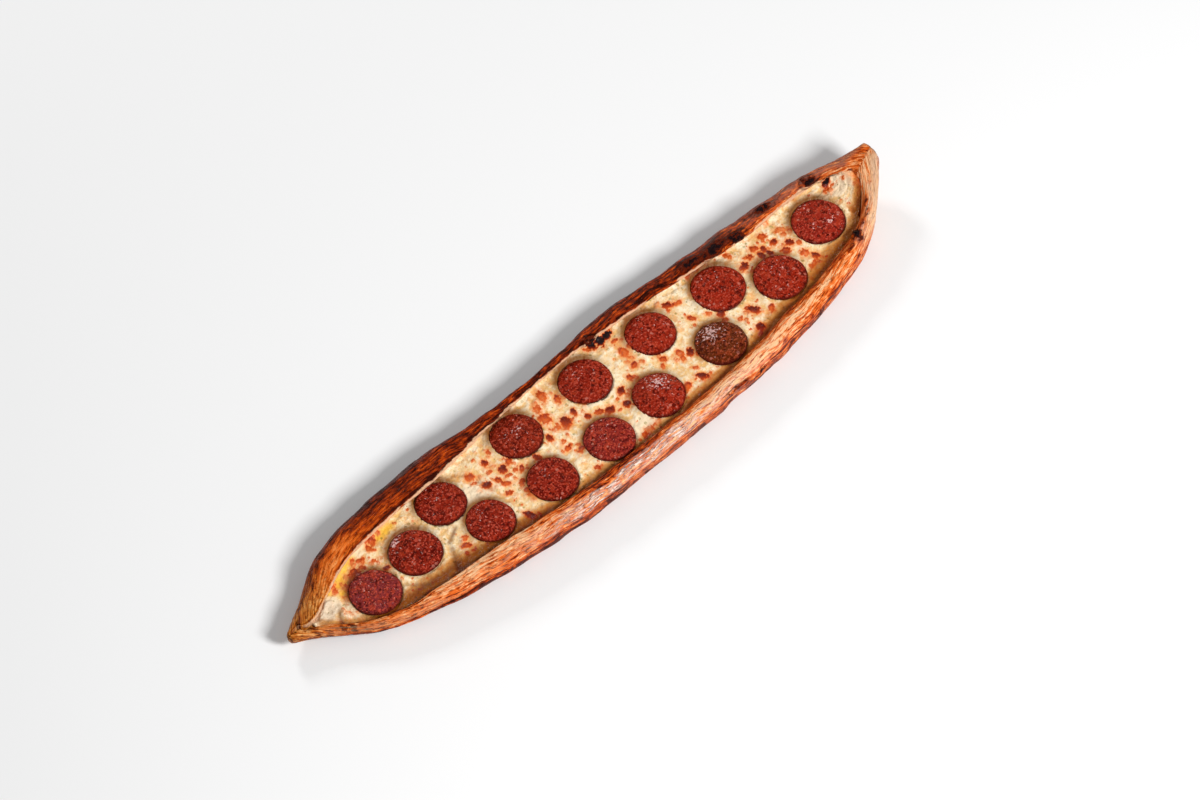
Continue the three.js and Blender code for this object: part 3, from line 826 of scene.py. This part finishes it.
def cheese_grid():
    """Where the points of the cheese's top lie, and the height of its underside there."""
    lines = cheese_lines()
    along = np.linspace(lines[0, 0], lines[-1, 0], CHEESE_CELLS[0] + 1)
    near = np.interp(along, lines[:, 0], lines[:, 1])
    far = np.interp(along, lines[:, 0], lines[:, 2])
    floor = np.interp(along, lines[:, 0], lines[:, 3])
    across = np.linspace(0, 1, CHEESE_CELLS[1] + 1)
    x = np.repeat(along[:, None], len(across), axis=1)
    y = near[:, None] + (far - near)[:, None] * across[None, :]
    return x, y, np.repeat(floor[:, None], len(across), axis=1)


def ragged_spot(x, y, centre, size, random_numbers):
    """1 inside an uneven spot of that size, falling to 0 outside."""
    turn = random_numbers.uniform(0, math.pi)
    long = random_numbers.uniform(1.0, 1.35)
    dx, dy = x - centre[0], y - centre[1]
    u = (dx * math.cos(turn) + dy * math.sin(turn)) / long
    v = (dy * math.cos(turn) - dx * math.sin(turn)) * long
    return 1 - np.hypot(u, v) / (size * MM)


def cheese_masks(x, y, ragged):
    """How browned, toasted, greasy and pale the cheese is, and how far its blisters stand up."""
    numbers = random.Random(FRECKLE_SEED)
    brown = np.zeros(x.shape)
    toast = np.zeros(x.shape)
    raised = np.zeros(x.shape)
    spots = [
        (seen_at_height(px, py, CHEESE_HEIGHT), size * BLISTER_SCALE, dark) for px, py, size, dark in BLISTERS
    ]
    for _ in range(SATELLITES):
        centre, size, _ = spots[numbers.randrange(len(BLISTERS))]
        angle, reach = numbers.uniform(0, math.tau), numbers.uniform(1.1, 2.6) * size * MM
        beside = (centre[0] + math.cos(angle) * reach, centre[1] + math.sin(angle) * reach)
        spots.append((beside, numbers.uniform(0.8, 2.1), numbers.uniform(0.2, 0.6)))
    for _ in range(FRECKLES):
        i, j = numbers.randrange(x.shape[0]), numbers.randrange(x.shape[1])
        spots.append(((x[i, j], y[i, j]), numbers.uniform(0.5, 1.2), numbers.uniform(0.15, 0.5)))
    for centre, size, dark in spots:
        depth = ragged_spot(x, y, centre, size, numbers) + 0.46 * ragged
        # lean: blisters painted darker on one side as shade of their domes, on top of their own browning
        lean = ((x - centre[0]) * BLISTER_SHADED_SIDE.x + (y - centre[1]) * BLISTER_SHADED_SIDE.y) / (size * MM)
        ring = step(depth, -0.25, 0.2) - (0 if dark > SOLID_BLISTER else 0.32 * step(depth, 0.3, 0.8))
        brown = np.maximum(brown, dark * ring * (0.96 + 0.3 * np.clip(lean, -1, 1)))
        toast = np.maximum(toast, min(1, dark + 0.3) * step(depth, -1.1, 0.1) * min(1, size / 2.2))
        raised = np.maximum(raised, step(depth, -0.3, 0.4) * min(size, 3.5) * 0.17)
    grease = np.zeros(x.shape)
    pale = np.zeros(x.shape)
    for mask, places in ((grease, GREASE), (pale, PALE_FOLDS)):
        for px, py, length, width in places:
            centre = seen_at_height(px, py, CHEESE_HEIGHT)
            far_off = ((x - centre.x) / (length * MM)) ** 2 + ((y - centre.y) / (width * MM)) ** 2
            np.maximum(mask, np.minimum(1, 1.4 * np.exp(-far_off)), out=mask)
    return brown, toast, grease, pale, raised


def crease_relief(x, y):
    """The folds and creases of the cheese, in millimetres."""
    relief = np.zeros(x.shape)
    for ax, ay, bx, by, width, depth in CREASES:
        start = np.array(seen_at_height(ax, ay, CHEESE_HEIGHT))[:2]
        run = np.array(seen_at_height(bx, by, CHEESE_HEIGHT))[:2] - start
        t = np.clip(((x - start[0]) * run[0] + (y - start[1]) * run[1]) / (run @ run), 0, 1)
        away = np.hypot(x - start[0] - t * run[0], y - start[1] - t * run[1])
        relief -= depth * hump(away, 0, width * MM)
    return relief


def make_cheese():
    x, y, floor = cheese_grid()
    level = level_of_cheese(x, y)
    flat = np.stack([x.ravel(), y.ravel(), np.zeros(x.size)], axis=1)
    ragged = noise_over(flat, 1.6 * MM, 21, 2).reshape(x.shape)
    brown, toast, grease, pale, raised = cheese_masks(x, y, ragged)
    soft = noise_over(flat, 11 * MM, 22).reshape(x.shape)
    small = noise_over(flat, 4 * MM, 23, 3).reshape(x.shape)
    folds = crease_relief(x, y)
    relief = 0.7 * soft + 0.45 * small + raised - 0.15 * brown + folds + 0.5 * pale * (1 + small)
    near_edge = (y - y[:, :1])
    far_edge = (y[:, -1:] - y)
    relief += 1.2 * step(far_edge, 7 * MM, 3 * MM) * (1 + 0.5 * small)
    relief *= step(np.minimum(near_edge, far_edge), -0.5 * MM, 2.5 * MM)
    relief += curve(END_RISES, x)
    # beside: each slice's shadow painted on the cheese on the slice's far side (+Y)
    beside = np.zeros(x.shape)
    for _, cx, cy, radius, low, _ in slice_places():
        reach = np.hypot(x - cx, y - cy)
        away = reach - radius
        behind = np.clip(0.3 + (y - cy) / reach, 0, 1)
        beside = np.maximum(beside, behind * hump(away, 0, SLICE_SHADOW_REACH))
        relief += 0.35 * hump(away, 1.2 * MM, MENISCUS)
        under = away < UNDER_SLICE
        level = np.where(under, np.minimum(level, low + 0.6 * MM), level)
        relief = np.where(under, 0, relief)
    top = np.minimum(level + relief * MM, CAD_BOX[1][2] - BELOW_TOP)
    bm = bmesh.new()
    bmesh.ops.create_grid(bm, x_segments=CHEESE_CELLS[0], y_segments=CHEESE_CELLS[1], size=1)
    share = share_of_length(x)
    # shade: the near rim's shadow painted over the cheese beside it, fading out beyond that reach
    beyond = near_edge / MM - curve(RIM_SHADOW_REACH, share) + 1.2 * soft + 0.6 * small
    shade = step(beyond, 8, -5) * step(share, 0.03, 0.05)
    dough = step(share, *BARE_DOUGH)
    toast = np.maximum(toast * (1 - dough), step(x, *TOASTED_END))
    masks = {
        "brown": brown * (1 - dough), "toast": toast, "grease": grease, "pale": pale, "shade": shade,
        "deep": step(share, 0.5, 0.25), "dough": dough,
        # rise: painted light and shade, paler on the rises of the cheese's relief and darker in its hollows
        "rise": np.clip(0.5 + 0.35 * soft + 0.5 * small, 0, 1),
        # beside also takes the creases, painted darker as shade in them
        "beside": np.maximum(beside, np.clip(-folds, 0, 1)),
    }
    layers = {name: bm.verts.layers.float.new(name) for name in masks}
    widen = CHEESE_INTO_WALL * np.linspace(-1, 1, CHEESE_CELLS[1] + 1)
    for vert in bm.verts:
        i = round((vert.co.x + 1) / 2 * CHEESE_CELLS[0])
        j = round((vert.co.y + 1) / 2 * CHEESE_CELLS[1])
        vert.co = (x[i, j], y[i, j] + widen[j], top[i, j])
        for name, values in masks.items():
            vert[layers[name]] = values[i, j]
    rim = [edge for edge in bm.edges if edge.is_boundary]
    sides = bmesh.ops.extrude_edge_only(bm, edges=rim)["geom"]
    lower = [part for part in sides if isinstance(part, bmesh.types.BMVert)]
    floors = floor[:, 0]
    for vert in lower:
        vert.co.z = float(np.interp(vert.co.x, x[:, 0], floors))
    bmesh.ops.contextual_create(bm, geom=[part for part in sides if isinstance(part, bmesh.types.BMEdge)])
    bmesh.ops.recalc_face_normals(bm, faces=bm.faces)
    show(mesh_of(bm, "melted_cheese"), cheese_material(), "cheese")


def cheese_material():
    material, tree, shader = new_material("melted cheese", Specular_IOR_Level=0.2)
    here = object_coordinates(tree)
    cloudy = grain(tree, here, 0.011, 3, 0.5, 3)
    toasty = grain(tree, here, 0.006, 4, 0.6, 14)
    curds = grain(tree, here, 0.0032, 3, 0.6, 6)
    fine = grain(tree, here, 0.0014, 2, 0.5, 9)
    toast = attribute(tree, "toast")
    brown = attribute(tree, "brown")
    base = blend(tree, spread(tree, cloudy, 0.38, 0.62), (0.89, 0.65, 0.36, 1), (0.80, 0.47, 0.17, 1))
    # Painted light and shade: paler where the cheese rises
    base = blend(tree, spread(tree, attribute(tree, "rise"), 0.4, 0.8), base, (0.93, 0.78, 0.54, 1))
    base = blend(tree, spread(tree, curds, 0.45, 0.65, 0, 0.55), base, (0.93, 0.79, 0.57, 1))
    base = blend(tree, spread(tree, toasty, 0.52, 0.66, 0, 0.65), base, (0.79, 0.33, 0.09, 1))
    base = blend(tree, spread(tree, fine, 0.52, 0.68, 0, 0.6), base, (0.76, 0.44, 0.15, 1))
    whitish = spread(tree, plus(tree, attribute(tree, "pale"), about_zero(tree, toasty, 0.7)), 0.4, 0.6)
    folded = blend(tree, attribute(tree, "dough"), (0.90, 0.72, 0.50, 1), (0.70, 0.55, 0.40, 1))
    base = blend(tree, times(tree, whitish, 0.85), base, folded)
    base = blend(tree, times(tree, attribute(tree, "grease"), 0.9), base, (0.93, 0.50, 0.035, 1))
    herbs = times(tree, specks(tree, here, 0.0028, 0.2), spread(tree, fine, 0.35, 0.6, 0.2, 0.7))
    base = blend(tree, herbs, base, (0.30, 0.22, 0.05, 1))
    around = times(tree, toast, spread(tree, curds, 0.3, 0.6, 0.5, 1))
    base = blend(tree, around, base, (0.80, 0.26, 0.065, 1))
    browned = plus(tree, brown, about_zero(tree, curds, 0.35))
    burnt = ramp(tree, browned, (0.2, (0.76, 0.20, 0.045, 1)), (0.5, (0.60, 0.09, 0.012, 1)),
                 (0.75, (0.38, 0.038, 0.005, 1)), (1.0, (0.14, 0.010, 0.002, 1)))
    base = blend(tree, spread(tree, browned, 0.05, 0.42), base, burnt)
    base = blend(tree, spread(tree, browned, 1.25, 1.5), base, (0.014, 0.006, 0.007, 1))
    # Painted shadow of the near rim, in two steps: darkest at the rim, and darker still towards the left end
    shade = plus(tree, attribute(tree, "shade"), about_zero(tree, cloudy, 0.15))
    deep = blend(tree, attribute(tree, "deep"), (0.60, 0.36, 0.09, 1), (0.38, 0.22, 0.045, 1))
    base = blend(tree, spread(tree, shade, 0.05, 0.5), base, (0.64, 0.38, 0.17, 1), "MULTIPLY")
    base = blend(tree, spread(tree, shade, 0.42, 0.95), base, deep, "MULTIPLY")
    # Painted shadow of the slices on the cheese beside them, and painted shade in the creases
    base = blend(tree, attribute(tree, "beside"), base, (0.25, 0.12, 0.035, 1), "MULTIPLY")
    tree.links.new(base, shader.inputs["Base Color"])
    tree.links.new(spread(tree, cloudy, 0.3, 0.7, 0.25, 0.42), shader.inputs["Roughness"])
    relief = plus(tree, curds, times(tree, fine, 0.35))
    bump(tree, shader, relief, 0.0015, 0.9)
    return material


# ---------------------------------------------------------------- sucuk

SLICE_LEVELS = 3
SLICE_SWELL = 0.7  # millimetres that a slice's middle stands up
# How lumpy, how browned and how purple some slices are; the others are 0.
DOMED = {"sucuk_02": 0.3, "sucuk_07": 0.2, "sucuk_10": 0.8, "sucuk_12": 1.3}
BROWNED_SLICES = {"sucuk_12": 1.0, "sucuk_05": 0.15}
PURPLE_SLICES = {"sucuk_01": 0.8, "sucuk_08": 0.35, "sucuk_14": 0.15}
# Where glints are painted on a slice as highlights: (along, across, reach) in radii from its middle, and how
# bright they are.
PAINTED_GLINTS = [(0.0, 0.45, 0.45, 0.3)]
PAINTED_GLINTS_OF = {
    "sucuk_02": [(-0.3, 0.75, 0.3, 1.0), (-0.05, 0.85, 0.22, 0.7), (0.1, -0.1, 0.15, 0.5)],
    "sucuk_05": [(0.15, 0.1, 0.25, 0.8), (-0.3, 0.2, 0.2, 0.4)],
    "sucuk_10": [(0.32, 0.32, 0.45, 0.9)],
    "sucuk_12": [(-0.1, 0.55, 0.48, 1.0)],
    "sucuk_14": [(0.09, 0.85, 0.25, 0.6), (0.25, -0.29, 0.2, 0.9), (-0.31, -0.04, 0.15, 0.8)],
}


def make_slice(name, cx, cy, radius, low, high, material):
    bm = merged_copy(name)
    bmesh.ops.join_triangles(bm, faces=bm.faces, angle_face_threshold=math.pi, angle_shape_threshold=math.pi)
    mesh = mesh_of(smoothed(bm, SLICE_LEVELS), name.replace("sucuk", "slice"))
    places = array_of(mesh)
    middle = np.array([cx, cy])
    away = np.hypot(*(places[:, :2] - middle).T)
    places[:, :2] = middle + (places[:, :2] - middle) * radius / away.max()
    away /= away.max()
    seed = 40 + int(name[-2:])
    top = step(places[:, 2], low + 1.2 * MM, low + 2.2 * MM)
    relief = 0.35 * noise_over(places, 9 * MM, seed) + 0.16 * noise_over(places, 3.5 * MM, seed + 20, 2)
    puffs = 0.4 * noise_over(places, 4 * MM, seed + 1, 2) + 0.2 * noise_over(places, 1.8 * MM, seed + 2)
    relief += DOMED.get(name, 0) * puffs
    relief += SLICE_SWELL * (1 - away ** 2) - 0.15 * hump(away, 0.93, 0.03)
    aside = (places[:, :2] - middle) / radius
    painted_glint = np.zeros(len(places))
    for along, across, reach, brightness in PAINTED_GLINTS_OF.get(name, PAINTED_GLINTS):
        off = np.hypot(aside[:, 0] - along, aside[:, 1] - across)
        painted_glint = np.maximum(painted_glint, brightness * hump(off, 0, reach))
    move(mesh, places + normals_of(mesh) * (relief * top * MM)[:, None])
    # edge: nearness to the rim, pushed out on the -Y side so that the dark casing is painted wider there as
    # shade
    store(mesh, "edge", away - 0.05 * aside[:, 1])
    store(mesh, "painted_glint", painted_glint)
    store(mesh, "browned", np.full(len(places), BROWNED_SLICES.get(name, 0)))
    store(mesh, "purple", np.full(len(places), PURPLE_SLICES.get(name, 0)))
    store(mesh, "bright", np.full(len(places), step(cx, -0.1, 0.12)))
    show(mesh, material, name)


def sucuk_material():
    material, tree, shader = new_material("sucuk", Specular_IOR_Level=0.13, Specular_Tint=RED_SHEEN)
    here = object_coordinates(tree)
    cloudy = grain(tree, here, 0.008, 3, 0.5, 1)
    meat = grain(tree, here, 0.003, 4, 0.7, 4)
    fine = grain(tree, here, 0.0014, 2, 0.5, 7)
    base = blend(tree, attribute(tree, "bright"), (0.175, 0.006, 0.0015, 1), (0.29, 0.013, 0.003, 1))
    base = blend(tree, spread(tree, cloudy, 0.35, 0.65, 0, 0.5), base, (0.36, 0.022, 0.007, 1))
    base = blend(tree, times(tree, attribute(tree, "purple"), 0.75), base, (0.22, 0.032, 0.040, 1))
    base = blend(tree, times(tree, attribute(tree, "browned"), 0.85), base, (0.15, 0.022, 0.004, 1))
    minced = grain(tree, here, 0.0042, 3, 0.55, 31)
    base = blend(tree, spread(tree, minced, 0.5, 0.64, 0, 0.65), base, (0.45, 0.042, 0.014, 1))
    base = blend(tree, spread(tree, meat, 0.51, 0.39, 0, 0.9), base, (0.065, 0.001, 0.0005, 1))
    base = blend(tree, spread(tree, fine, 0.53, 0.63, 0, 0.8), base, (0.55, 0.075, 0.042, 1))
    base = blend(tree, attribute(tree, "browned"), base, (0.66, 0.95, 0.75, 1), "MULTIPLY")
    fat = specks(tree, here, 0.0026, 0.17)
    base = blend(tree, times(tree, fat, 0.55), base, (0.64, 0.22, 0.16, 1))
    glint_grain = grain(tree, here, 0.0018, 3, 0.6, 22)
    # Painted highlights: glints broken up by grain
    glint_mask = plus(tree, attribute(tree, "painted_glint"), about_zero(tree, glint_grain, 4.5))
    base = blend(tree, spread(tree, glint_mask, 0.75, 1.1, 0, 0.8), base, (0.90, 0.58, 0.54, 1))
    dark = specks(tree, here, 0.0038, 0.3, 3.3)
    base = blend(tree, times(tree, dark, 0.6), base, (0.04, 0.001, 0.001, 1))
    # Dark casing round each slice, painted wider on its -Y side as shade
    casing_and_shade = spread(tree, attribute(tree, "edge"), 0.9, 1.02)
    base = blend(tree, times(tree, casing_and_shade, 0.85), base, (0.055, 0.004, 0.003, 1))
    tree.links.new(base, shader.inputs["Base Color"])
    tree.links.new(spread(tree, meat, 0.3, 0.7, 0.12, 0.3), shader.inputs["Roughness"])
    relief = plus(tree, meat, times(tree, fine, 0.5))
    bump(tree, shader, relief, 0.0022, 1.0)
    return material


# ---------------------------------------------------------------- studio

FLOOR_SIZE = 6  # metres, as are the lights' places and sizes
FLOOR_COLOUR = (0.86, 0.86, 0.86, 1)
ROOM_LIGHT = 0.28
# Name, place to the right, away from the camera and up, size, and power in watts.
LIGHTS = [("key", 1.35, -1.0, 1.45, 0.6, 54), ("back", -1.0, 1.5, 1.0, 0.45, 14)]


def make_floor():
    bm = bmesh.new()
    bmesh.ops.create_grid(bm, x_segments=1, y_segments=1, size=FLOOR_SIZE / 2)
    floor = new_object("floor", mesh_of(bm, "floor"))
    material, _, _ = new_material("pale floor", Base_Color=FLOOR_COLOUR, Roughness=0.8)
    floor.data.materials.append(material)


def add_light(name, right, away, height, size, power):
    """A square soft light, placed to the right of the pide and away from the camera, and aimed at it."""
    back = Vector((-VIEW_BACK.x, -VIEW_BACK.y, 0)).normalized()
    place = VIEW_RIGHT * right + back * away + Vector((0, 0, height))
    data = bpy.data.lights.new(name, "AREA")
    data.size = size
    data.energy = power
    light = new_object(name, data)
    light.location = place
    light.rotation_euler = place.to_track_quat("Z", "Y").to_euler()


def light_studio():
    world = bpy.data.worlds.new("studio")
    world.use_nodes = True
    background = world.node_tree.nodes["Background"]
    background.inputs["Color"].default_value = (1, 1, 1, 1)
    background.inputs["Strength"].default_value = ROOM_LIGHT
    bpy.context.scene.world = world
    bpy.context.scene.view_settings.view_transform = "Standard"
    for light in LIGHTS:
        add_light(*light)


# ---------------------------------------------------------------- the pide

add_camera()
make_crust()
make_cheese()
slices = sucuk_material()
for place in slice_places():
    make_slice(*place, slices)
make_floor()
light_studio()
